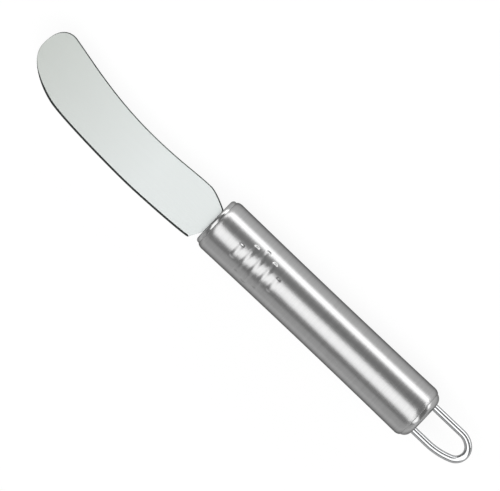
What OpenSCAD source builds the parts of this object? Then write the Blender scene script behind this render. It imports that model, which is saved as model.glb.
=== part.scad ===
// Butter knife: a stamped spreading blade in a waisted tube handle with
// pressed grip ribs, two end caps and a bent wire loop to hang it by.
// Millimetres. +X runs along the handle to the blade's tip, +Y to the
// spreading edge and +Z up, out of the side that carries the ribs. The
// origin is under the middle of the knife's length, on the surface that
// the handle lies on.

/* [Blade] */
// How far the tip stands out of the front cap
blade_reach = 82.8; // [60:0.1:110]
// Thickness of the sheet that the blade is stamped from
blade_t = 1.2; // [0.8:0.1:2]
// From the handle's axis to the spreading edge, where the blade is widest
belly_y = 12; // [10:0.1:16]
// From the axis to the back, at the hump beside the handle
hump_y = 7.65; // [6.5:0.05:9]
// From the axis to the back, where it is drawn in
waist_y = 6.65; // [5:0.05:8]
// From the axis to the back's crest, behind the tip
crest_y = 12.7; // [10:0.1:16]
// How far the foremost point of the tip lies from the axis, on the back's side
tip_y = 3.4; // [0:0.1:5]
// From the axis to the back's edge of the neck, at the front cap
neck_back_y = 4.6; // [4.2:0.1:5.5]
// From the axis to the heel's edge of the neck, at the front cap
neck_heel_y = 5.6; // [4.2:0.1:7]
// Width of the bevel along the spreading edge
bevel_w = 0.8; // [0.3:0.1:1.5]
// Depth of that bevel, on each face
bevel_depth = 0.2; // [0.1:0.05:0.38]
// Size of the softened corner along every other edge
soften = 0.15; // [0.05:0.05:0.3]
// Width of the tang, which is narrower than the neck and goes through the cap
tang_w = 8; // [5:0.1:8.2]
// How far the tang reaches behind the cap's face
tang_reach = 6; // [3:0.5:20]

/* [Handle tube] */
// Length of the tube, between the two cap joints
tube_l = 93.6; // [70:0.1:130]
// Diameter of the tube at its ends
tube_end_d = 20.2; // [17:0.1:26]
// How far the tube's side is drawn in at its waist
tube_waist_depth = 0.25; // [0.1:0.01:0.6]
// Wall of the tube
tube_wall = 0.8; // [0.5:0.1:1]
// Radius of the rolled-in ends
roll_r = 3; // [2:0.1:4]
// How far the roll draws each end in
roll_drop = 0.7; // [0.5:0.05:0.9]
// Depth of the straight land inside each mouth
mouth_land = 1.2; // [0.8:0.1:1.5]

/* [Grip ribs] */
// Distance of the first rib's middle behind the front cap's face
rib_start = 12.6; // [8:0.1:20]
// Distance between ribs
rib_pitch = 4.2; // [3:0.1:5]
// Width of a rib where it leaves the tube
rib_w = 2; // [1.6:0.1:2.8]
// Height of a rib over the tube
rib_h = 0.45; // [0.3:0.05:0.7]
// Angle round the tube that the longest rib covers, without its round ends
rib_sweep = 80; // [60:1:120]

/* [End caps] */
// How far each cap's edge stays inside the edge of the tube's rolled end
cap_set_in = 0.1; // [0.05:0.05:0.4]
// Thickness of each cap's face
cap_face_t = 1; // [0.8:0.1:1.2]
// Wall of each cap's skirt, inside the tube
cap_wall = 0.8; // [0.5:0.1:1]
// Length of each cap's skirt
skirt_l = 4; // [2:0.5:8]
// How far the front cap stands out of the tube
front_cap_h = 1.5; // [1.3:0.1:2.5]
// Radius of the front cap's rim
front_rim_r = 1.2; // [0.5:0.1:1.3]
// How far the rear cap stands out of the tube
rear_cap_h = 2.3; // [1.5:0.1:3.5]
// Radius of the rear cap's rim
rear_rim_r = 3.2; // [2.4:0.1:3.6]

/* [Hanging loop] */
// Diameter of the wire
wire_d = 2.6; // [1.5:0.1:3]
// Gap between the weld round each leg and the rear cap's skirt, which sets how far apart the legs stand
leg_gap = 0.3; // [0.1:0.1:2]
// How far the loop stands out of the rear cap
loop_reach = 19.9; // [14:0.1:40]
// How far the wire's ends reach behind the rear cap's face
leg_inside = 5; // [3:0.5:15]

/* [Welds] */
// Size of the weld beads that hold the tang and the wire
weld_leg = 0.8; // [0.4:0.1:0.9]

/* [Hidden] */
$fn = 96;
side_steps = 8;
wire_sides = 20;
overrun = 0.5;

steel_satin = [0.78, 0.79, 0.79];
steel_blade = [0.80, 0.83, 0.81];
steel_polished = [0.86, 0.87, 0.88];
steel_weld = [0.55, 0.54, 0.52];

// Tube: the side is an arc through both ends and the waist
tube_end_r = tube_end_d / 2;
tube_waist_r = tube_end_r - tube_waist_depth;
roll_run = sqrt(roll_r * roll_r - (roll_r - roll_drop) * (roll_r - roll_drop));
half_side = tube_l / 2 - roll_run;
side_curve_r = (half_side * half_side + tube_waist_depth * tube_waist_depth) / (2 * tube_waist_depth);
mouth_r = tube_end_r - roll_drop - tube_wall;

// Caps: the edge rests on the tube's end and the skirt fits the mouth
cap_r = tube_end_r - roll_drop - cap_set_in;
skirt_bore_r = mouth_r - cap_wall;

// Places along the handle, as distances behind the front cap's face
tube_middle = front_cap_h + tube_l / 2;
handle_l = front_cap_h + tube_l + rear_cap_h;

// Row frame: the whole knife is centred along X and lies on Z = 0
knife_l = blade_reach + handle_l + loop_reach;
front_face_x = knife_l / 2 - blade_reach;

// Ribs: a round-backed bar that stands out of the tube by rib_h, with ends that swell by a hair
rib_r = (rib_w * rib_w / 4 + rib_h * rib_h) / (2 * rib_h);
rib_end_swell = 0.03;
rib_sweep_shares = [0.32, 0.76, 1, 0.76, 0.32];

// Blade outline, station by station: neck, hump, waist, crest, tip, shoulder, belly and heel
station_x_shares = [0, 0.1, 0.388, 0.912, 1, 0.795, 0.358, 0.033];
shoulder_y_share = 0.82;
heel_y_share = 0.885;
station_y = [
    -neck_back_y, -hump_y, -waist_y, -crest_y, -tip_y,
    shoulder_y_share * belly_y, belly_y, heel_y_share * belly_y
];
// Direction of the outline at each station, in degrees
station_headings = [-28, 0, 0, -11.4, 90, 170.7, 180, 211];
// Reach of the curve's handles before and after each station
handle_in_shares = [0, 0.01, 0.147, 0.129, 0.108, 0.082, 0.091, 0.014];
handle_out_shares = [0.06, 0.086, 0.23, 0.0265, 0.082, 0.104, 0.089, 0];
// Steps in the curve that leaves each station: 46 along the back, and with the heel's edge 46 along the front
curve_steps = [6, 8, 16, 16, 19, 13, 13];
// The bevel fades in along the curve from the tip to the shoulder
tip_stretch = 4;
bevel_from_share = 0.25;
bevel_full_share = 0.8;

// Loop: a tight end bend and two wide side bends, which leave the straight legs
wire_r = wire_d / 2;
leg_y = skirt_bore_r - leg_gap - weld_leg - wire_r;
end_bend_share = 0.81;
end_bend_r = end_bend_share * leg_y;
end_shift_share = 0.08;
end_bend_y = -end_shift_share * leg_y;
end_bend_x = loop_reach - wire_r - end_bend_r;
back_leg_share = 0.89;
heel_leg_share = 0.48;

// A curve between two stations, pulled along their headings
function heading(angle) = [cos(angle), sin(angle)];
function curve_point(a, b, c, d, q) =
    pow(1 - q, 3) * a + 3 * q * pow(1 - q, 2) * b + 3 * q * q * (1 - q) * c + pow(q, 3) * d;
function station(i) = [station_x_shares[i] * blade_reach, station_y[i]];
function station_curve(i, q) = curve_point(
    station(i),
    station(i) + handle_out_shares[i] * blade_reach * heading(station_headings[i]),
    station(i + 1) - handle_in_shares[i + 1] * blade_reach * heading(station_headings[i + 1]),
    station(i + 1),
    q
);

// Share of the full bevel at a point on a curve: none on the back, all along the spreading edge
function ramp(q) = min(1, max(0, (q - bevel_from_share) / (bevel_full_share - bevel_from_share)));
function bevel_share(i, q) = i < tip_stretch ? 0 : (i == tip_stretch ? ramp(q) : 1);

// Outline of blade and tang, counter-clockwise, each point with its share of the bevel
blade_curve = [
    for (i = [0 : len(curve_steps) - 1], step = [0 : curve_steps[i] - 1])
        let (q = step / curve_steps[i], p = station_curve(i, q)) [p.x, p.y, bevel_share(i, q)]
];
heel_point = station(len(curve_steps));
tang_outline = [
    [heel_point.x, heel_point.y, 1],
    [0, neck_heel_y, 0],
    [0, tang_w / 2, 0],
    [-tang_reach, tang_w / 2, 0],
    [-tang_reach, -tang_w / 2, 0],
    [0, -tang_w / 2, 0]
];
blade_outline = concat(blade_curve, tang_outline);

// Triangles that cover the outline, as point numbers: each point on the back is joined to its fellow on the
// front, the neck fans out from the back's first point, and the tang is a rectangle
tip_i = curve_steps[0] + curve_steps[1] + curve_steps[2] + curve_steps[3];
neck_i = 2 * tip_i;
tang_i = neck_i + 1;
tang_back_i = neck_i + 4;
blade_cover = concat(
    [for (i = [1 : tip_i - 1]) [i, neck_i - i - 1, neck_i - i]],
    [for (i = [1 : tip_i - 2]) [i, i + 1, neck_i - i - 1]],
    [[1, neck_i - 1, neck_i], [1, neck_i, tang_i], [1, tang_i, tang_back_i], [1, tang_back_i, 0]],
    [[tang_back_i, tang_i, tang_i + 1], [tang_back_i, tang_i + 1, tang_i + 2]]
);

// Unit vector, and the inward mitre at corner i of the closed outline
function unit(v) = v / norm(v);
function flat(p) = [p.x, p.y];
function inward(points, i) =
    let (
        n = len(points),
        before = unit(flat(points[i]) - flat(points[(i + n - 1) % n])),
        after = unit(flat(points[(i + 1) % n]) - flat(points[i])),
        along = unit(before + after)
    )
    [-along.y, along.x] / (along * after);

// One ring of the blade: its outline at the given side of the sheet, drawn in by the bevel or level with the edge
function bevel_at(share, plain, full) = plain + share * (full - plain);
function blade_ring(side, drawn_in) = [
    for (i = [0 : len(blade_outline) - 1])
        let (
            share = blade_outline[i].z,
            inset = drawn_in ? bevel_at(share, soften, bevel_w) : 0,
            depth = drawn_in ? 0 : bevel_at(share, soften, bevel_depth),
            p = flat(blade_outline[i]) + inset * inward(blade_outline, i)
        )
        [p.x, p.y, side * (blade_t / 2 - depth)]
];

// A solid through rings of points, with the triangles that cover its first and last ring. Seen from the last
// ring, the rings and the triangles run counter-clockwise
module loft_rings(rings, cover) {
    n = len(rings[0]);
    last = (len(rings) - 1) * n;
    walls = [
        for (r = [0 : len(rings) - 2], i = [0 : n - 1])
            let (a = r * n + i, b = r * n + (i + 1) % n)
                each [[a, a + n, b + n], [a, b + n, b]]
    ];
    first_cover = cover;
    last_cover = [for (t = cover) [last + t[2], last + t[1], last + t[0]]];
    polyhedron(points = [for (r = rings) each r], faces = concat(walls, first_cover, last_cover));
}

// From a cap's or the tube's own axis, which runs back along the handle, with its X up
module along_handle(behind_face) {
    translate([-behind_face, 0, 0]) rotate([0, -90, 0]) children();
}

// From the handle's front face, on its axis, to the row frame
module in_row_frame() {
    translate([front_face_x, 0, tube_end_r]) children();
}

// Radius of the tube's side at a distance from its middle
function side_r(from_middle) =
    tube_waist_r + side_curve_r - sqrt(side_curve_r * side_curve_r - from_middle * from_middle);

// Half of the tube's section, drawn in by inset: waisted side and rolled ends
module barrel_section(inset) {
    side = [
        for (i = [0 : side_steps])
            let (along = half_side * (2 * i / side_steps - 1)) [side_r(along) - inset, along]
    ];
    intersection() {
        translate([0, -tube_l / 2]) square([tube_end_r, tube_l]);
        union() {
            polygon(concat([[0, -half_side]], side, [[0, half_side]]));
            translate([0, -tube_l / 2]) square([tube_end_r - roll_r, tube_l]);
            for (end = [-1, 1]) {
                translate([tube_end_r - roll_r, end * half_side]) circle(r = roll_r - inset);
            }
        }
    }
}

// The tube's hollow: the inset barrel between the two lands, and the mouths
module hollow_section() {
    hollow_l = tube_l - 2 * mouth_land;
    intersection() {
        barrel_section(tube_wall);
        translate([0, -hollow_l / 2]) square([tube_end_r, hollow_l]);
    }
    translate([0, -tube_l / 2 - overrun]) square([mouth_r, tube_l + 2 * overrun]);
}

// A bar bent round the tube, with round ends, centred on the up side
module rib(bar_r, sweep) {
    rotate([0, 0, -sweep / 2]) {
        rotate_extrude(angle = sweep) translate([bar_r, 0]) circle(r = rib_r, $fn = 48);
        for (end = [0, sweep]) {
            rotate([0, 0, end]) translate([bar_r, 0, 0]) sphere(r = rib_r + rib_end_swell, $fn = 48);
        }
    }
}

// Half of a cap's section: its face at zero, the button, and the skirt behind it
module cap_section(button_h, rim_r) {
    rim_run = min(rim_r, button_h);
    rim_middle = cap_r - sqrt(rim_r * rim_r - (rim_r - rim_run) * (rim_r - rim_run));
    difference() {
        union() {
            intersection() {
                square([cap_r, button_h]);
                union() {
                    square([rim_middle, button_h]);
                    translate([0, rim_run]) square([cap_r, button_h]);
                    translate([rim_middle, rim_r]) circle(r = rim_r);
                }
            }
            translate([0, button_h]) square([mouth_r, skirt_l]);
        }
        translate([0, cap_face_t]) square([skirt_bore_r, button_h + skirt_l]);
    }
}

// A quarter-round bead in a corner, along Y, with its legs along -X and +Z
module straight_bead(bead_l, leg) {
    translate([0, bead_l / 2, 0]) mirror([1, 0, 0]) rotate([90, 0, 0]) linear_extrude(height = bead_l)
        intersection() {
            circle(r = leg);
            square(leg);
        }
}

// A quarter-round bead round a wire, on the plane it stands on
module ring_bead(inner_r, leg) {
    rotate_extrude() translate([inner_r, 0]) intersection() {
        circle(r = leg);
        square(leg);
    }
}

// Radius of the side bend that leaves a straight leg and runs smoothly into the end bend, where the end
// bend's middle is run further out than the leg's end, and rise nearer the axis than the leg
function side_bend_r(run, rise) = (run * run + rise * rise - end_bend_r * end_bend_r) / (2 * (rise - end_bend_r));
// Angle through which that side bend turns
function side_turn(run, rise) = atan2(run, side_bend_r(run, rise) - rise);

// Points along a bend in the wire, each with the direction of travel, from one angle round its middle to another
function bend(x, y, r, from, to, steps) = [
    for (i = [0 : steps])
        let (a = from + (to - from) * i / steps)
            [x + r * cos(a), y + r * sin(a), a + (to > from ? 90 : -90)]
];

// The wire's path outside the cap's face, from one leg's end to the other's, on the back's side first
back_straight = back_leg_share * end_bend_x;
back_run = end_bend_x - back_straight;
back_rise = leg_y + end_bend_y;
back_bend_r = side_bend_r(back_run, back_rise);
back_turn = side_turn(back_run, back_rise);
heel_straight = heel_leg_share * end_bend_x;
heel_run = end_bend_x - heel_straight;
heel_rise = leg_y - end_bend_y;
heel_bend_r = side_bend_r(heel_run, heel_rise);
heel_turn = side_turn(heel_run, heel_rise);
back_bend_steps = 6;
end_bend_steps = 22;
heel_bend_steps = 8;
wire_path = concat(
    [[-leg_inside, -leg_y, 0]],
    bend(back_straight, back_bend_r - leg_y, back_bend_r, -90, back_turn - 90, back_bend_steps),
    [for (i = [1 : end_bend_steps - 1]) bend(end_bend_x, end_bend_y, end_bend_r,
        back_turn - 90, 90 - heel_turn, end_bend_steps)[i]],
    bend(heel_straight, leg_y - heel_bend_r, heel_bend_r, 90 - heel_turn, 90, heel_bend_steps),
    [[-leg_inside, leg_y, 180]]
);

// A round ring across the wire at a point of its path
function wire_ring(p) = [
    for (i = [0 : wire_sides - 1])
        let (a = 360 * i / wire_sides, out = wire_r * cos(a))
            [p.x - out * sin(p.z), p.y + out * cos(p.z), wire_r * sin(a)]
];

module blade() {
    color(steel_blade) in_row_frame() loft_rings(
        [blade_ring(-1, true), blade_ring(-1, false), blade_ring(1, false), blade_ring(1, true)],
        blade_cover
    );
}

module front_cap() {
    color(steel_polished) in_row_frame() difference() {
        along_handle(0) rotate_extrude() cap_section(front_cap_h, front_rim_r);
        translate([-cap_face_t - overrun, -tang_w / 2, -blade_t / 2])
            cube([cap_face_t + 2 * overrun, tang_w, blade_t]);
    }
}

module handle_tube() {
    color(steel_satin) in_row_frame() difference() {
        union() {
            along_handle(tube_middle) rotate_extrude() barrel_section(0);
            for (i = [0 : len(rib_sweep_shares) - 1]) {
                place = rib_start + i * rib_pitch;
                bar_r = side_r(place - tube_middle) + rib_h - rib_r;
                along_handle(place) rib(bar_r, rib_sweep * rib_sweep_shares[i]);
            }
        }
        along_handle(tube_middle) rotate_extrude() hollow_section();
    }
}

module rear_cap() {
    color(steel_polished) in_row_frame() difference() {
        translate([-handle_l, 0, 0]) rotate([0, 90, 0]) rotate_extrude() cap_section(rear_cap_h, rear_rim_r);
        for (side = [-1, 1]) {
            translate([-handle_l - overrun, side * leg_y, 0]) rotate([0, 90, 0])
                cylinder(r = wire_r, h = cap_face_t + 2 * overrun, $fn = 48);
        }
    }
}

module hanging_loop() {
    color(steel_polished) in_row_frame() translate([-handle_l, 0, 0]) mirror([1, 0, 0])
        loft_rings([for (p = wire_path) wire_ring(p)], [for (i = [1 : wire_sides - 2]) [0, i, i + 1]]);
}

module tang_weld() {
    color(steel_weld) in_row_frame() for (face = [0, 1]) {
        mirror([0, 0, face]) translate([-cap_face_t, 0, blade_t / 2]) straight_bead(tang_w, weld_leg);
    }
}

module loop_welds() {
    color(steel_weld) in_row_frame() for (side = [-1, 1]) {
        translate([-handle_l + cap_face_t, side * leg_y, 0]) rotate([0, 90, 0]) ring_bead(wire_r, weld_leg);
    }
}

blade();
front_cap();
handle_tube();
rear_cap();
hanging_loop();
tang_weld();
loop_welds();
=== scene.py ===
# %% [markdown]
# # A stainless steel butter knife
# The knife shows five pieces of stainless steel: a blade stamped from sheet, a drawn tube with pressed
# grip ribs, a cap pressed into each end of the tube and a loop of bent wire to hang the knife by. The
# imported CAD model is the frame: each piece here takes its place from the CAD's own boxes, so that it meets
# its neighbours. Outlines are drawn after the photograph, and finishes and lamps are matched to it.

# %% Load the frame
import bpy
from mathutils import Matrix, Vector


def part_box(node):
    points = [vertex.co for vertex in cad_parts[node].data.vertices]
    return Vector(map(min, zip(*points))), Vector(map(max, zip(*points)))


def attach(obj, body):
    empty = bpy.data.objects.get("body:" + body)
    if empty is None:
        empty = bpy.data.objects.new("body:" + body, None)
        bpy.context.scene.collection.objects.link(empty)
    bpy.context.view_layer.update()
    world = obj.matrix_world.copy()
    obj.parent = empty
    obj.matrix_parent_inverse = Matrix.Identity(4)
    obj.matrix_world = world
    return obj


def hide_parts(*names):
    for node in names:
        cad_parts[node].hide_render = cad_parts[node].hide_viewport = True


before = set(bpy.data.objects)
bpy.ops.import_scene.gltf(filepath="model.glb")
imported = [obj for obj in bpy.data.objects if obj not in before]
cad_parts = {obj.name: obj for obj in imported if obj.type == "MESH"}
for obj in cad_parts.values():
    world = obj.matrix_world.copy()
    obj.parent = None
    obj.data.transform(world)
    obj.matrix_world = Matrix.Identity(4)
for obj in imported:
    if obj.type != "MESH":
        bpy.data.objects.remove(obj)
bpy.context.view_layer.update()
print("CAD nodes:", ", ".join(sorted(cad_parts)))

# %% Tools and the unit
import math

import bpy
from mathutils import Matrix, Vector

MM = 0.001

# %% [markdown]
# ## Where the pieces sit
# The knife lies along X with its tip at +X. The round tube rests on Z = 0, so the handle's axis runs one
# tube radius above it. The joints between tube and caps are read from the CAD boxes, so that the pieces
# made below meet the caps, which stay as the CAD has them.

# %% Places along the handle, in millimetres
front_face_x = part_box("front_cap")[1].x / MM
rear_face_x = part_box("rear_cap")[0].x / MM
tube_low, tube_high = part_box("handle_tube")
tube_rear_x = tube_low.x / MM
tube_front_x = tube_high.x / MM
tube_end_r = (tube_high.y - tube_low.y) / 2 / MM
axis_z = tube_end_r
tip_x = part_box("blade")[1].x / MM
print(f"tube from X {tube_rear_x:.1f} to {tube_front_x:.1f} mm, radius {tube_end_r:.2f} mm")

# %% [markdown]
# ## One way to make every piece
# All the pieces are skins through rings of points: the blade's rings follow its outline, the tube's
# rings are its cross-sections and the wire's rings are beads on its path. One function joins rings with
# four-sided faces, and one turns points into an object. Smooth shading with sharp creases above a given
# angle keeps round parts round and stamped corners crisp. Each piece then rides on the CAD's body.

# %% Skins through rings
CREASE_ANGLE = 35


def faces_between(rings, per_ring, closed=False):
    """Four-sided faces from each ring to the next; closed joins the last ring to the first."""
    faces = []
    for ring in range(rings if closed else rings - 1):
        here = ring * per_ring
        there = (ring + 1) % rings * per_ring
        for step in range(per_ring):
            after = (step + 1) % per_ring
            faces.append((here + step, there + step, there + after, here + after))
    return faces


def make_piece(name, points, faces, flat_faces=(), grain=None):
    """A mesh object from points in millimetres. grain gives a point's place on a flat map of the polish."""
    mesh = bpy.data.meshes.new(name)
    mesh.from_pydata([Vector(point) * MM for point in points], [], [*faces, *flat_faces])
    mesh.shade_smooth()
    mesh.set_sharp_from_angle(angle=math.radians(CREASE_ANGLE))
    for face in mesh.polygons[len(faces):]:
        face.use_smooth = False
    if grain:
        places = mesh.uv_layers.new(name="grain")
        for loop in mesh.loops:
            places.data[loop.index].uv = grain(points[loop.vertex_index])
    piece = bpy.data.objects.new(name, mesh)
    bpy.context.scene.collection.objects.link(piece)
    print(f"{name}: {len(points)} points, {len(mesh.polygons)} faces")
    return piece


# %% [markdown]
# ## The blade
# A spreading blade is cut from flat sheet with a press tool, so all its character is in the outline: a
# hump beside the handle, a drawn-in waist, a crest behind a round tip and one long belly that spreads.
# The outline runs through eight stations. Each has a heading and a pull before and after it, as the
# handles of a drawn curve, so eight rows carry the whole shape.

# %% The blade's outline
blade_reach = tip_x - front_face_x
BELLY_Y = 12
SHOULDER_Y = 0.82 * BELLY_Y
HEEL_Y = 0.885 * BELLY_Y
# Station: share of the reach, place across, heading in degrees, pull before, pull after
BLADE_STATIONS = (
    (0, -4.6, -28, 0, 0.06),
    (0.1, -7.65, 0, 0.01, 0.086),
    (0.388, -6.65, 0, 0.147, 0.23),
    (0.912, -12.7, -11.4, 0.129, 0.0265),
    (1, -3.4, 90, 0.108, 0.082),
    (0.795, SHOULDER_Y, 170.7, 0.082, 0.104),
    (0.358, BELLY_Y, 180, 0.091, 0.089),
    (0.033, HEEL_Y, 211, 0.014, 0),
)
NECK_HEEL_Y = 5.6
TANG_HALF_W = 4
TANG_REACH = 6
# The four curves of the back have two steps more than the three of the front, so that every point of the
# back has a partner. Few steps run into the heel, where a finer bevel would fold in the tight corner.
CURVE_STEPS = (6, 8, 34, 40, 45, 32, 9)
TIP_CURVE = 4


def station_place(station):
    """A station's place from the front cap's face, in millimetres."""
    return Vector((station[0] * blade_reach, station[1]))


def curve_at(start, end, share):
    """A point on the curve between two stations."""
    leave = Vector((math.cos(math.radians(start[2])), math.sin(math.radians(start[2]))))
    arrive = Vector((math.cos(math.radians(end[2])), math.sin(math.radians(end[2]))))
    a = station_place(start)
    b = a + leave * start[4] * blade_reach
    d = station_place(end)
    c = d - arrive * end[3] * blade_reach
    rest = 1 - share
    return rest ** 3 * a + 3 * share * rest ** 2 * b + 3 * share ** 2 * rest * c + share ** 3 * d


print(f"blade reaches {blade_reach:.1f} mm from the cap")

# %% [markdown]
# The belly is ground to a shallow bevel on both faces, and every other edge only has its burr taken off.
# So each point of the outline also carries a share of the full bevel: none along the back, growing round
# the tip, and all of it from there to the heel, where it stops short. Another share says how much the burr
# is rounded: more on the neck's back, where a polishing belt dwells, and next to nothing behind the heel,
# which it can't reach. Behind the neck the sheet goes on as the tang, which passes through the cap and
# can't be seen once the knife is together.

# %% Shares of the bevel and of the burr's rounding
# Shares of the tip's curve at which the bevel begins and is full, and of the heel's edge at which it ends
BEVEL_BEGINS = 0.25
BEVEL_FULL = 0.8
BEVEL_ENDS = 0.1
# The burr's rounding at the neck and behind the heel, in shares of the usual one
NECK_BURR = 2.2
HEEL_BURR = 0.3


def bevel_share(curve, share):
    """None before the tip's curve, all of it after, and a smooth change along it."""
    if curve == TIP_CURVE:
        grown = min(1, max(0, (share - BEVEL_BEGINS) / (BEVEL_FULL - BEVEL_BEGINS)))
        return grown * grown * (3 - 2 * grown)
    return 0 if curve < TIP_CURVE else 1


def burr_share(curve, share):
    """More than the usual rounding at the neck, less and less of it up to the hump."""
    return NECK_BURR + (1 - NECK_BURR) * share if curve == 0 else 1


print(f"the bevel begins {BEVEL_BEGINS:.0%} round the tip and is full at {BEVEL_FULL:.0%}")

# %% The outline's points, with both shares
outline = []
for curve, (start, end) in enumerate(zip(BLADE_STATIONS, BLADE_STATIONS[1:])):
    for step in range(CURVE_STEPS[curve]):
        share = step / CURVE_STEPS[curve]
        outline.append((curve_at(start, end, share), bevel_share(curve, share), burr_share(curve, share)))
heel = station_place(BLADE_STATIONS[-1])
neck_heel = Vector((0, NECK_HEEL_Y))
bevel_end = heel.lerp(neck_heel, BEVEL_ENDS)
outline += [(heel, 1, 1), (bevel_end, 0, HEEL_BURR), (neck_heel, 0, HEEL_BURR)]
tang_corners = (
    (0, TANG_HALF_W),
    (-TANG_REACH, TANG_HALF_W),
    (-TANG_REACH, -TANG_HALF_W),
    (0, -TANG_HALF_W),
)
outline += [(Vector(corner), 0, 1) for corner in tang_corners]
print(f"outline of {len(outline)} points")

# %% [markdown]
# The sheet's edge is built ring by ring from the lower flat round to the upper one. Each ring is the
# outline drawn in by a little and set a little lower than the flat. On a deburred edge these steps are a
# quarter round, and on the bevel they are one straight slope with a small round under it.

# %% The edge's section
BLADE_T = 1.2
BURR_R = 0.15
BEVEL_W = 0.8
BEVEL_DEPTH = 0.2
EDGE_R = 0.05
quarter = [math.radians(angle) for angle in (0, 30, 60, 90)]
deburred = [(BURR_R * (1 - math.sin(a)), BURR_R * (1 - math.cos(a))) for a in quarter]
bevelled = [
    (BEVEL_W, 0),
    (EDGE_R, BEVEL_DEPTH * (1 - EDGE_R / BEVEL_W)),
    (EDGE_R / 4, BEVEL_DEPTH + EDGE_R / 4),
    (0, BEVEL_DEPTH + EDGE_R),
]


def inward(i):
    """The way into the sheet at a corner of the outline, long enough to keep the edge's width."""
    here = outline[i][0]
    before = (here - outline[i - 1][0]).normalized()
    after = (outline[(i + 1) % len(outline)][0] - here).normalized()
    along = (before + after).normalized()
    return Vector((-along.y, along.x)) / along.dot(after)


def blade_ring(step, side):
    """One ring of the blade at a step of the edge's section, on the upper or the lower side."""
    ring = []
    for i, (place, bevel, burr) in enumerate(outline):
        inset = (1 - bevel) * burr * deburred[step][0] + bevel * bevelled[step][0]
        depth = (1 - bevel) * burr * deburred[step][1] + bevel * bevelled[step][1]
        at = place + inset * inward(i)
        ring.append((front_face_x + at.x, at.y, axis_z + side * (BLADE_T / 2 - depth)))
    return ring


blade_rings = [blade_ring(step, -1) for step in range(len(quarter))]
blade_rings += [blade_ring(step, 1) for step in reversed(range(len(quarter)))]
print(f"{len(blade_rings)} rings round an edge {BLADE_T} mm thick")

# %% [markdown]
# The two flats close the skin. One many-sided face could do that, but Blender would cut it into triangles
# of its own choice, and long thin ones show as lines in the shine. So each flat is a row of cross strips
# from the points of the back to their partners in front, and it stays truly flat. The outline is counted
# from one side of the neck round the tip to the other, so the third point from the start has the third
# point from the end as its partner.

# %% The blade's flats and its skin
def flat_strips(start):
    """The faces of one flat, seen from above. start is the first of its points in the blade's list."""
    tip_i = sum(CURVE_STEPS[:TIP_CURVE])
    neck_i = 2 * tip_i
    tang_i = neck_i + 1
    tang_back_i = neck_i + 4
    strips = [(i, i + 1, neck_i - i - 1, neck_i - i) for i in range(1, tip_i - 1)]
    strips += [(tip_i - 1, tip_i, tip_i + 1)]
    strips += [(1, neck_i - 1, neck_i), (1, neck_i, tang_i), (1, tang_i, tang_back_i), (1, tang_back_i, 0)]
    strips += [(tang_back_i, tang_i, tang_i + 1, tang_i + 2)]
    return [tuple(start + i for i in strip) for strip in strips]


per_ring = len(outline)
top_start = per_ring * (len(blade_rings) - 1)
blade_flats = [tuple(reversed(strip)) for strip in flat_strips(0)] + flat_strips(top_start)
blade = make_piece(
    "spreading_blade",
    [point for ring in blade_rings for point in ring],
    [tuple(reversed(face)) for face in faces_between(len(blade_rings), per_ring)],
    blade_flats,
)
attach(blade, "root")
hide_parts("blade")

# %% [markdown]
# ## The handle tube
# The handle is a drawn tube, very slightly waisted, whose ends are rolled in over the caps. A press
# raises five ribs for the thumb. They could be separate bars, but on sheet metal a rib has no joint: it
# swells out of the skin with a soft fillet. So the tube is one skin, and the ribs are a height added to
# its radius.

# %% The tube's side
TUBE_WAIST_DEPTH = 0.25
TUBE_WALL = 0.8
ROLL_R = 3
ROLL_DROP = 0.7
MOUTH_LAND = 1.2
LIP_R = 0.1
tube_middle_x = (tube_front_x + tube_rear_x) / 2
half_tube = (tube_front_x - tube_rear_x) / 2
roll_angle = math.acos(1 - ROLL_DROP / ROLL_R)
half_side = half_tube - ROLL_R * math.sin(roll_angle)
side_curve_r = (half_side ** 2 + TUBE_WAIST_DEPTH ** 2) / (2 * TUBE_WAIST_DEPTH)


def side_r(from_middle):
    """Radius of the tube's side at a distance from its middle."""
    sag = side_curve_r - math.sqrt(side_curve_r ** 2 - from_middle ** 2)
    return tube_end_r - TUBE_WAIST_DEPTH + sag


print(f"the waist is {2 * side_r(0):.2f} mm across, the ends {2 * side_r(half_side):.2f} mm")

# %% [markdown]
# A rib is a soft swelling round the tube, with round ends. Its height at a point depends only on the
# distance from the rib's middle line, measured on the skin, and falls off as a cosine, because sheet that
# is pressed from inside has no corner anywhere. The press tool's ends are a little steeper than its sides.
# The fifth rib is lower than the others, as its end is dark in the photograph, where theirs catch a light.

# %% The height of the grip ribs
RIB_START = 12.6
RIB_PITCH = 4.2
RIB_HEIGHTS = (0.4, 0.4, 0.4, 0.4, 0.28)
RIB_FOOT = 1.4
RIB_END_STEEPER = 1.4
RIB_SWEEP = 80
RIB_SWEEP_SHARES = (0.32, 0.76, 1, 0.76, 0.32)


def rib_height(x, angle):
    """How far the ribs raise the skin at a place along the tube and an angle from its top, in degrees."""
    height = 0
    for i, (share, full_height) in enumerate(zip(RIB_SWEEP_SHARES, RIB_HEIGHTS)):
        along = front_face_x - RIB_START - i * RIB_PITCH - x
        past_end = max(0, abs(angle) - share * RIB_SWEEP / 2)
        away = math.hypot(along, RIB_END_STEEPER * math.radians(past_end) * tube_end_r)
        if away < RIB_FOOT:
            height = full_height * (1 + math.cos(math.pi * away / RIB_FOOT)) / 2
    return height


print(f"ribs up to {max(RIB_HEIGHTS)} mm high, {2 * RIB_FOOT} mm from foot to foot")

# %% [markdown]
# The section runs along the outside from the rear to the front, round the rolled lip into the mouth, and
# back along the inside, so that the tube has a real wall. The skin's rings are close together only where
# the ribs are, and so are the points round the tube.

# %% The tube's whole section
REAR_RINGS = 26
RIB_RINGS = 130
FRONT_RINGS = 10
ROLL_RINGS = 10
INSIDE_RINGS = 12


def spread(start, end, steps):
    """Evenly spaced places from start up to, but not including, end."""
    return [start + (end - start) * step / steps for step in range(steps)]


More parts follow.
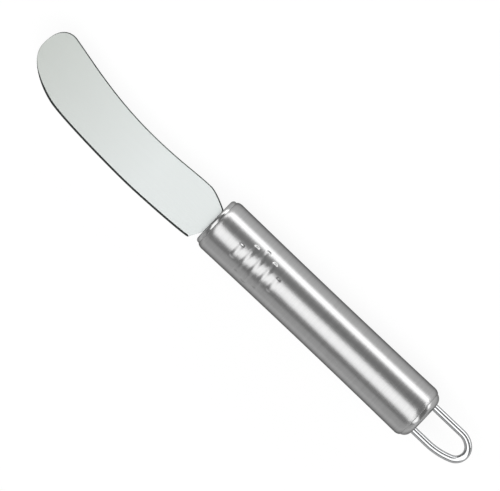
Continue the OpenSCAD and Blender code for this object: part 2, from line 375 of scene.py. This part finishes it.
rib_rear_x = front_face_x - RIB_START - (len(RIB_SWEEP_SHARES) - 1) * RIB_PITCH - RIB_FOOT
rib_front_x = front_face_x - RIB_START + RIB_FOOT
side_front_x = tube_middle_x + half_side
side_rear_x = tube_middle_x - half_side
outside_x = spread(side_rear_x, rib_rear_x, REAR_RINGS)
outside_x += spread(rib_rear_x, rib_front_x, RIB_RINGS)
outside_x += spread(rib_front_x, side_front_x, FRONT_RINGS)
outside = [(x, side_r(x - tube_middle_x)) for x in outside_x]
roll_turns = spread(0, roll_angle, ROLL_RINGS)
roll = [(ROLL_R * math.sin(a), tube_end_r - ROLL_R * (1 - math.cos(a))) for a in roll_turns]
lip_x = half_tube - half_side
lip_r = tube_end_r - ROLL_DROP
lip = [
    (lip_x - LIP_R, lip_r + LIP_R * math.tan(roll_angle / 2)),
    (lip_x, lip_r - LIP_R),
    (lip_x, lip_r - TUBE_WALL),
    (lip_x - MOUTH_LAND, lip_r - TUBE_WALL),
]
mouth = roll + lip
front_mouth = [(side_front_x + x, r) for x, r in mouth]
rear_mouth = [(side_rear_x - x, r) for x, r in reversed(mouth)]
inside_x = spread(side_front_x, side_rear_x, INSIDE_RINGS)
inside = [(x, side_r(x - tube_middle_x) - TUBE_WALL) for x in inside_x]
tube_section = outside + front_mouth + inside + rear_mouth[:-1]
print(f"section of {len(tube_section)} points, {len(outside)} of them on the outside")

# %% The tube's skin
RIBBED_HALF_ANGLE = 60
RIBBED_SIDES = 130
PLAIN_SIDES = 80
angles = spread(-RIBBED_HALF_ANGLE, RIBBED_HALF_ANGLE, RIBBED_SIDES)
angles += spread(RIBBED_HALF_ANGLE, 360 - RIBBED_HALF_ANGLE, PLAIN_SIDES)
tube_points = []
for i, (x, r) in enumerate(tube_section):
    for angle in angles:
        around = math.radians(angle)
        raised = rib_height(x, angle) if i < len(outside) else 0
        here = r + raised
        tube_points.append((x, here * math.sin(around), axis_z + here * math.cos(around)))
tube = make_piece(
    "ribbed_tube",
    tube_points,
    faces_between(len(tube_section), len(angles), closed=True),
    grain=lambda point: (point[0] * MM, math.atan2(point[1], point[2] - axis_z) * tube_end_r * MM),
)
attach(tube, "root")
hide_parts("handle_tube")

# %% [markdown]
# ## The hanging loop
# The loop is one length of bright wire. Its legs pass through two holes in the rear cap, and it is bent
# round a peg a little off centre, so one side bends later than the other. Three arcs that meet without a
# kink and two straight legs are the whole path. A swept skin follows it more smoothly than the CAD's rings.

# %% The wire's bends
LEG_INSIDE = 5
# The end bend's radius and place across, in shares of a leg's distance from the handle's axis
END_BEND_R_SHARE = 0.81
END_BEND_Y_SHARE = -0.08
# How far each leg runs straight, in shares of the way to the end bend's middle
BACK_STRAIGHT_SHARE = 0.89
BELLY_STRAIGHT_SHARE = 0.48
loop_low, loop_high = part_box("hanging_loop")
wire_r = (loop_high.z - loop_low.z) / 2 / MM
leg_y = loop_high.y / MM - wire_r
loop_reach = rear_face_x - loop_low.x / MM
end_bend_r = END_BEND_R_SHARE * leg_y
end_bend_y = END_BEND_Y_SHARE * leg_y
end_bend_x = loop_reach - wire_r - end_bend_r


def side_bend(run, rise):
    """Radius and turn of the arc that leaves a straight leg and meets the end bend without a kink."""
    r = (run ** 2 + rise ** 2 - end_bend_r ** 2) / (2 * (rise - end_bend_r))
    return r, math.atan2(run, r - rise)


back_start = BACK_STRAIGHT_SHARE * end_bend_x
back_r, back_turn = side_bend(end_bend_x - back_start, leg_y + end_bend_y)
belly_start = BELLY_STRAIGHT_SHARE * end_bend_x
belly_r, belly_turn = side_bend(end_bend_x - belly_start, leg_y - end_bend_y)
print(f"the loop stands {loop_reach:.1f} mm out of the cap, of wire {2 * wire_r:.1f} mm thick")

# %% The wire's path
BACK_BEND_STEPS = 10
END_BEND_STEPS = 48
BELLY_BEND_STEPS = 16
QUARTER_TURN = math.pi / 2


def bend(x, y, r, start, end, steps):
    """Points round a middle, each with the direction of travel."""
    turned = [start + (end - start) * step / steps for step in range(steps + 1)]
    return [(x + r * math.cos(a), y + r * math.sin(a), a + QUARTER_TURN) for a in turned]


back_meets = back_turn - QUARTER_TURN
belly_meets = QUARTER_TURN - belly_turn
wire_path = [(-LEG_INSIDE, -leg_y, 0)]
wire_path += bend(back_start, back_r - leg_y, back_r, -QUARTER_TURN, back_meets, BACK_BEND_STEPS)
wire_path += bend(end_bend_x, end_bend_y, end_bend_r, back_meets, belly_meets, END_BEND_STEPS)[1:-1]
wire_path += bend(belly_start, leg_y - belly_r, belly_r, belly_meets, QUARTER_TURN, BELLY_BEND_STEPS)
wire_path += [(-LEG_INSIDE, leg_y, 2 * QUARTER_TURN)]
print(f"path of {len(wire_path)} points, in millimetres out of the cap")

# %% The wire's skin
WIRE_SIDES = 40
wire_points = []
for x, y, heading in wire_path:
    for side in range(WIRE_SIDES):
        angle = 2 * math.pi * side / WIRE_SIDES
        out = wire_r * math.cos(angle)
        along = x - out * math.sin(heading)
        across = y + out * math.cos(heading)
        wire_points.append((rear_face_x - along, across, axis_z + wire_r * math.sin(angle)))
last_ring = WIRE_SIDES * (len(wire_path) - 1)
wire_ends = (tuple(range(WIRE_SIDES)), tuple(reversed(range(last_ring, last_ring + WIRE_SIDES))))
loop = make_piece("wire_loop", wire_points, faces_between(len(wire_path), WIRE_SIDES), wire_ends)
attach(loop, "root")
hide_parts("hanging_loop")

# %% [markdown]
# ## Colour and nodes
# Colours are written as the hex values a painter would pick on a screen, and one function turns them
# into the linear values that a shader works in. One small function adds any node: it takes the node's
# options, and its sockets with either a value or another node's output to link.

# %% Colour and node helpers
def linear(hex_colour):
    """A screen colour such as C0C0C0 as linear red, green, blue and alpha."""
    channels = [int(hex_colour[i:i + 2], 16) / 255 for i in (0, 2, 4)]
    curved = [c / 12.92 if c <= 0.04045 else ((c + 0.055) / 1.055) ** 2.4 for c in channels]
    return (*curved, 1)


def add_node(tree, kind, sockets=None, **options):
    """One node with its options set, and each named socket given a value or a link."""
    made = tree.nodes.new(kind)
    for name, value in options.items():
        setattr(made, name, value)
    for socket, value in (sockets or {}).items():
        if isinstance(value, bpy.types.NodeSocket):
            tree.links.new(value, made.inputs[socket])
        else:
            made.inputs[socket].default_value = value
    return made


def new_finish(name):
    """An empty node material, and the tree that it is drawn in."""
    finish = bpy.data.materials.new(name)
    finish.use_nodes = True
    finish.node_tree.nodes.clear()
    return finish, finish.node_tree


def give(piece, finish):
    """Gives a piece its finish, in its only material slot."""
    piece.data.materials.clear()
    piece.data.materials.append(finish)


print("808080 as linear light:", [round(c, 3) for c in linear("808080")])

# %% [markdown]
# ## Grain
# Brushed steel is steel with thousands of fine grooves all one way. Here a noise pattern is stretched:
# fine across the grooves and long along them. The true spacing is about 0.05 mm, which is too fine to
# show in a picture where a pixel is a third of a millimetre, so the grain is drawn six times coarser. A
# second function turns a pattern into what it changes: a roughness, say, or a colour between two tones.

# %% Grain pattern
GRAIN_MM = 0.3
GRAIN_LENGTH_MM = 14


def grain_pattern(tree, across_mm, along_mm, way, detail=3):
    """Noise that is across_mm wide and along_mm long. way names the axes that the grooves run along."""
    places = add_node(tree, "ShaderNodeTexCoord")
    per_metre = [1000 / (along_mm if axis in way else across_mm) for axis in "XYZ"]
    stretched = add_node(
        tree, "ShaderNodeVectorMath", {0: places.outputs["Object"], 1: per_metre}, operation="MULTIPLY"
    )
    sockets = {"Vector": stretched.outputs[0], "Scale": 1, "Detail": detail, "Roughness": 0.6}
    return add_node(tree, "ShaderNodeTexNoise", sockets).outputs[0]


def drifting(tree, pattern, low, high, start=0.3, end=0.7):
    """What goes from low to high as the pattern goes from start to end: two numbers, or two tones."""
    numbers = not isinstance(low, (str, bpy.types.NodeSocket))
    least, most = (low, high) if numbers else (0, 1)
    sockets = {"Value": pattern, "From Min": start, "From Max": end, "To Min": least, "To Max": most}
    drift = add_node(tree, "ShaderNodeMapRange", sockets).outputs[0]
    if numbers:
        return drift
    low_tone, high_tone = [linear(tone) if isinstance(tone, str) else tone for tone in (low, high)]
    sockets = {0: drift, 6: low_tone, 7: high_tone}
    return add_node(tree, "ShaderNodeMix", sockets, data_type="RGBA").outputs[2]


print(f"grain drawn {GRAIN_MM} mm wide and {GRAIN_LENGTH_MM} mm long")

# %% [markdown]
# ## Brushed tube
# The tube is 18/8 stainless steel, polished by a belt while the tube spins, so the grooves run round it.
# They leave a lamp's image sharp round the tube and smear it along the tube, and that gives the long
# clean bands of light and dark that make a brushed tube look like metal. The shader does the same with
# anisotropy, whose wide direction follows the grain map's first axis, along the tube. Seen at a low angle
# the grooves shade each other a little, and a grey specular tint darkens the steel towards the tube's
# edges much more, as painted shade for the dark room that the edges mirror.

# %% Brushed tube finish
GROOVE_DEPTH_MM = 0.01
brushed_tube, tree = new_finish("spun_brushed_stainless_steel")
grooves = grain_pattern(tree, GRAIN_MM, GRAIN_LENGTH_MM, "YZ")
colour = drifting(tree, grooves, "A1A1A1", "ABABAB")
roughness = drifting(tree, grooves, 0.33, 0.37)
grooved = add_node(
    tree, "ShaderNodeBump", {"Strength": 0.2, "Distance": GROOVE_DEPTH_MM * MM, "Height": grooves}
)
wide_way = add_node(tree, "ShaderNodeTangent", direction_type="UV_MAP", uv_map="grain")
steel = add_node(
    tree,
    "ShaderNodeBsdfPrincipled",
    {
        "Base Color": colour,
        "Metallic": 1,
        "Roughness": roughness,
        # Painted shade: the grey specular tint darkens the steel towards the tube's edges.
        "Specular Tint": linear("7C7C7C"),
        "Anisotropic": 0.7,
        "Normal": grooved.outputs[0],
        "Tangent": wide_way.outputs[0],
    },
)
add_node(tree, "ShaderNodeOutputMaterial", {"Surface": steel.outputs[0]})
give(tube, brushed_tube)
print("brushed_tube:", len(tree.nodes), "nodes")

# %% [markdown]
# ## Satin blade
# The blade is a hardened cutlery steel with more carbon and less nickel, which is a little greener than
# the tube. It is ground flat lengthwise and then satin finished, so it shows no clear image at all, only
# a soft even sheen with faint streaks along the blade. Its edges are given darker colours: the back edge is
# darker than the flats and darkest at the neck, where that dark is painted shade, and the belly's edge is
# the darkest of all, which is painted shade too. The way that the surface faces tells the shader where an
# edge is. Towards the tip the photograph grows a shade greyer, as if the steel there mirrors a darker part
# of the studio, and a slow change of colour stands in for that.

# %% The blade's colours
# Where an edge's colour starts and ends, as the share of the surface's direction that points along X or Y
BACK_FACING_Y = (-0.25, -0.15)
BELLY_FACING_Y = (0.2, 0.235)
HEEL_FACING_X = (-0.42, -0.32)
NECK_FACING_X = (-0.4, -0.1)
# Where along the blade the tip's grey starts and ends, in metres
TIP_GREY_X = (0.043, 0.1)
satin_blade, tree = new_finish("satin_ground_cutlery_steel")
streaks = grain_pattern(tree, GRAIN_MM, 2 * GRAIN_LENGTH_MM, "X")
spots = add_node(tree, "ShaderNodeTexCoord")
place_x = add_node(tree, "ShaderNodeSeparateXYZ", {0: spots.outputs["Object"]}).outputs["X"]
facing = add_node(tree, "ShaderNodeSeparateXYZ", {0: spots.outputs["Normal"]})
facing_x = facing.outputs["X"]
facing_y = facing.outputs["Y"]
flats = drifting(tree, streaks, "D3D7D6", "D7DBDA")
flats = drifting(tree, place_x, flats, "BCC0BC", *TIP_GREY_X)
# The back edge's colour: darker than the flats, and darkest at the neck, where it is painted shade.
back_edge_neck_shade = drifting(tree, facing_x, "303232", "646866", *NECK_FACING_X)
flats_and_back = drifting(tree, facing_y, back_edge_neck_shade, flats, *BACK_FACING_Y)
# Painted shade: the belly's edge is coloured dark, except at the heel's edge.
belly_painted_shade = drifting(tree, facing_x, flats_and_back, "3C3F3E", *HEEL_FACING_X)
colour = drifting(tree, facing_y, flats_and_back, belly_painted_shade, *BELLY_FACING_Y)
print("colours of the blade:", len(tree.nodes), "nodes")

# %% [markdown]
# A dark specular tint takes away light that the steel would mirror at a low angle, which darkens the sides
# of the sheet as in the photograph. Only the heel's edge is bright there, so where the surface faces that
# way the tint is white. The blade lies flat, so the way across its grooves is simply Y, and the anisotropy
# needs no map.

# %% Satin blade finish
roughness = drifting(tree, streaks, 0.44, 0.47)
low_tint = drifting(tree, facing_x, "FFFFFF", "595959", *HEEL_FACING_X)
ground = add_node(
    tree, "ShaderNodeBump", {"Strength": 0.1, "Distance": GROOVE_DEPTH_MM * MM, "Height": streaks}
)
wide_way = add_node(tree, "ShaderNodeCombineXYZ", {"Y": 1})
steel = add_node(
    tree,
    "ShaderNodeBsdfPrincipled",
    {
        "Base Color": colour,
        "Metallic": 1,
        "Roughness": roughness,
        "Specular Tint": low_tint,
        "Anisotropic": 0.93,
        "Normal": ground.outputs[0],
        "Tangent": wide_way.outputs[0],
    },
)
add_node(tree, "ShaderNodeOutputMaterial", {"Surface": steel.outputs[0]})
give(blade, satin_blade)
print("satin_blade:", len(tree.nodes), "nodes")

# %% [markdown]
# ## Pressed caps
# The caps are pressed from sheet and spun against a finer belt than the tube's, so their rims catch small
# bright highlights. The belt leaves faint rings, and tiny dents from the press stay in the steel as a slow
# waviness. The radial tangent runs round the handle, and a quarter turn of it points the wide way of the
# highlights along the cap's profile. The shape of both caps is right in the CAD, so they keep it.

# %% Satin cap finish
WAVE_MM = 4
WAVE_DEPTH_MM = 0.02
satin_cap, tree = new_finish("satin_pressed_stainless_steel")
rings = grain_pattern(tree, GRAIN_MM, GRAIN_LENGTH_MM, "YZ")
waves = grain_pattern(tree, WAVE_MM, WAVE_MM, "")
colour = drifting(tree, waves, "A0A0A0", "ACACAC")
roughness = drifting(tree, rings, 0.21, 0.25)
round_way = add_node(tree, "ShaderNodeTangent", direction_type="RADIAL", axis="X")
pressed = add_node(
    tree, "ShaderNodeBump", {"Strength": 0.15, "Distance": WAVE_DEPTH_MM * MM, "Height": waves}
)
steel = add_node(
    tree,
    "ShaderNodeBsdfPrincipled",
    {
        "Base Color": colour,
        "Metallic": 1,
        "Roughness": roughness,
        "Specular Tint": linear("A0A0A0"),
        "Anisotropic": 0.56,
        "Anisotropic Rotation": 0.25,
        "Normal": pressed.outputs[0],
        "Tangent": round_way.outputs[0],
    },
)
add_node(tree, "ShaderNodeOutputMaterial", {"Surface": steel.outputs[0]})
give(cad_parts["front_cap"], satin_cap)
give(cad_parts["rear_cap"], satin_cap)
print("satin_cap:", len(tree.nodes), "nodes")

# %% [markdown]
# ## Bright wire
# The wire was drawn through a die, which burnishes it to a bright skin with hair-fine lines along its
# length. It is the shiniest piece, so its lights are the sharpest. The photograph draws a thin dark line
# along both of its sides, where the wire mirrors the room behind the lamps at a low angle. A dark specular
# tint stands in for that room.

# %% Bright wire finish
bright_wire, tree = new_finish("bright_drawn_stainless_wire")
die_lines = grain_pattern(tree, GRAIN_MM, GRAIN_LENGTH_MM, "X")
colour = drifting(tree, die_lines, "B0B1B2", "B8B9BA")
roughness = drifting(tree, die_lines, 0.1, 0.15)
steel = add_node(
    tree,
    "ShaderNodeBsdfPrincipled",
    {
        "Base Color": colour,
        "Metallic": 1,
        "Roughness": roughness,
        "Specular Tint": linear("303030"),
    },
)
add_node(tree, "ShaderNodeOutputMaterial", {"Surface": steel.outputs[0]})
give(loop, bright_wire)
print("bright_wire:", len(tree.nodes), "nodes")

# %% [markdown]
# ## Raw welds
# The welds sit inside the handle, where nobody polishes them. Weld metal cools with a rippled skin and a
# thin straw and blue-grey oxide, so it is darker, rougher and less even than the steel round it.

# %% Raw weld finish
RIPPLE_MM = 0.5
RIPPLE_DEPTH_MM = 0.1
raw_weld, tree = new_finish("raw_oxidised_weld_bead")
ripples = grain_pattern(tree, RIPPLE_MM, RIPPLE_MM, "", detail=4)
colour = drifting(tree, ripples, "6E675C", "8C8B8A")
roughness = drifting(tree, ripples, 0.45, 0.65)
rippled = add_node(
    tree, "ShaderNodeBump", {"Strength": 0.5, "Distance": RIPPLE_DEPTH_MM * MM, "Height": ripples}
)
steel = add_node(
    tree,
    "ShaderNodeBsdfPrincipled",
    {"Base Color": colour, "Metallic": 1, "Roughness": roughness, "Normal": rippled.outputs[0]},
)
add_node(tree, "ShaderNodeOutputMaterial", {"Surface": steel.outputs[0]})
give(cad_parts["tang_weld"], raw_weld)
give(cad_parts["loop_welds"], raw_weld)
print("raw_weld:", len(tree.nodes), "nodes")

# %% [markdown]
# ## The table
# The knife lies on a sheet of white studio paper. Paper is matt, so it takes the knife's soft shadow and
# shows no image of it. Most of its white is its own glow, as if lit from below, which leaves only a breath
# of that shadow, as in a cut-out picture. It is large, so that its edge stays far from the knife.

# %% White paper
PAPER_GLOW = 0.88
FIBRE_MM = 0.8
paper, tree = new_finish("white_studio_paper")
fibres = grain_pattern(tree, FIBRE_MM, FIBRE_MM, "")
white = drifting(tree, fibres, "F4F4F4", "F7F7F7")
matt = add_node(tree, "ShaderNodeBsdfDiffuse", {"Color": white})
lit = add_node(tree, "ShaderNodeEmission", {"Color": linear("FFFFFF"), "Strength": 1})
ray = add_node(tree, "ShaderNodeLightPath")
seen = ray.outputs["Is Camera Ray"]
for kind in ("Is Glossy Ray", "Is Transmission Ray"):
    seen = add_node(
        tree, "ShaderNodeMath", {0: seen, 1: ray.outputs[kind]}, operation="MAXIMUM"
    ).outputs[0]
glow = add_node(tree, "ShaderNodeMath", {0: seen, 1: PAPER_GLOW}, operation="MULTIPLY")
sheet = add_node(
    tree, "ShaderNodeMixShader", {0: glow.outputs[0], 1: matt.outputs[0], 2: lit.outputs[0]}
)
add_node(tree, "ShaderNodeOutputMaterial", {"Surface": sheet.outputs[0]})
print("paper:", len(tree.nodes), "nodes")

# %% The floor
FLOOR_HALF = 4
corners = [(-FLOOR_HALF, -FLOOR_HALF, 0), (FLOOR_HALF, -FLOOR_HALF, 0)]
corners += [(FLOOR_HALF, FLOOR_HALF, 0), (-FLOOR_HALF, FLOOR_HALF, 0)]
floor_mesh = bpy.data.meshes.new("paper_floor")
floor_mesh.from_pydata(corners, [], [(0, 1, 2, 3)])
floor_mesh.materials.append(paper)
floor = bpy.data.objects.new("paper_floor", floor_mesh)
bpy.context.scene.collection.objects.link(floor)
print(f"floor {2 * FLOOR_HALF} m square")

# %% [markdown]
# ## The lamps
# A round polished tube shows every lamp as a band along its length, so the bands in the photograph tell
# where the lamps were. A wide softbox hangs over the knife, and a long low one stands beyond its back
# edge. A dim white card stands on the other side. Between them the dark studio shows as dark bands. The
# highlights on the ribs and on the rear cap run a little askew, so the lamps didn't stand square to the
# knife. Each lamp can therefore also be turned round the knife, and shifted along it.

# %% Softboxes and card
knife_middle = Vector((0, 0, axis_z * MM))


def softbox(name, angle, distance, width, length, brightness, shift=0, turn=0):
    """A long lamp that faces the knife, in metres, where a brightness of 1 is the white of paper.

    angle is from straight up, towards -Y, and width is across the knife.
    """
    lamp = bpy.data.lights.new(name, "AREA")
    lamp.shape = "RECTANGLE"
    lamp.size = length
    lamp.size_y = width
    lamp.energy = brightness * math.pi * width * length
    holder = bpy.data.objects.new(name, lamp)
    bpy.context.scene.collection.objects.link(holder)
    tilt = math.radians(angle)
    place = Vector((shift, -distance * math.sin(tilt), distance * math.cos(tilt)))
    turned = Matrix.Rotation(math.radians(turn), 3, "Z")
    holder.location = knife_middle + turned @ place
    holder.rotation_euler = (tilt, 0, math.radians(turn))
    holder.visible_camera = False
    return holder


lamps = [
    softbox(
        "overhead_softbox", angle=-4.2, distance=0.45, width=0.358, length=2.55, brightness=2.2,
        shift=-0.72, turn=-14,
    ),
    softbox(
        "low_softbox", angle=79.8, distance=0.9, width=0.49, length=3.4, brightness=3.05,
        shift=-0.6, turn=10,
    ),
    softbox(
        "white_card", angle=-73, distance=0.9, width=0.568, length=3.4, brightness=0.45, shift=-0.9
    ),
]
print("lamps:", ", ".join(lamp.name for lamp in lamps))

# %% The dark studio
STUDIO_GREY = "969696"
studio = bpy.data.worlds.new("studio")
bpy.context.scene.world = studio
studio.use_nodes = True
studio.node_tree.nodes.clear()
air = add_node(studio.node_tree, "ShaderNodeBackground", {"Color": linear(STUDIO_GREY), "Strength": 1})
add_node(studio.node_tree, "ShaderNodeOutputWorld", {"Surface": air.outputs[0]})
bpy.context.scene.view_settings.view_transform = "Standard"
print(f"the room's own light is {linear(STUDIO_GREY)[0]:.2f} of white")

# %% [markdown]
# ## The camera
# The photograph was taken almost square to the blade, leaning a little towards its back edge, from far
# enough away that the tube's two ends look equally wide. A long lens two metres away gives that. The
# picture is rolled so that the knife runs from the lower right to the upper left.

# %% Camera
LEAN = math.radians(13.8)
ROLL = math.radians(43.5)
# How far off the camera stands, how wide its view is at the knife and where it aims, in metres
DISTANCE = 2
VIEW_W = 0.16865
AIM_RIGHT = -0.00052
AIM_UP = 0.00321
CLIP_END = 10
SENSOR_MM = 36
knife_way = Vector((1, 0, 0))
to_camera = Vector((0, -math.sin(LEAN), math.cos(LEAN)))
edge_way = to_camera.cross(knife_way)
picture_right = -math.cos(ROLL) * knife_way - math.sin(ROLL) * edge_way
picture_up = math.sin(ROLL) * knife_way - math.cos(ROLL) * edge_way
aim = knife_middle + AIM_RIGHT * picture_right + AIM_UP * picture_up
lens = bpy.data.cameras.new("long_lens")
lens.sensor_width = SENSOR_MM
lens.lens = SENSOR_MM * DISTANCE / VIEW_W
lens.clip_end = CLIP_END
camera = bpy.data.objects.new("long_lens", lens)
bpy.context.scene.collection.objects.link(camera)
camera.location = aim + DISTANCE * to_camera
camera.rotation_mode = "QUATERNION"
axes = [picture_right, picture_up, to_camera]
camera.rotation_quaternion = Matrix(axes).transposed().to_quaternion()
bpy.context.scene.camera = camera
print(f"lens {lens.lens:.0f} mm")
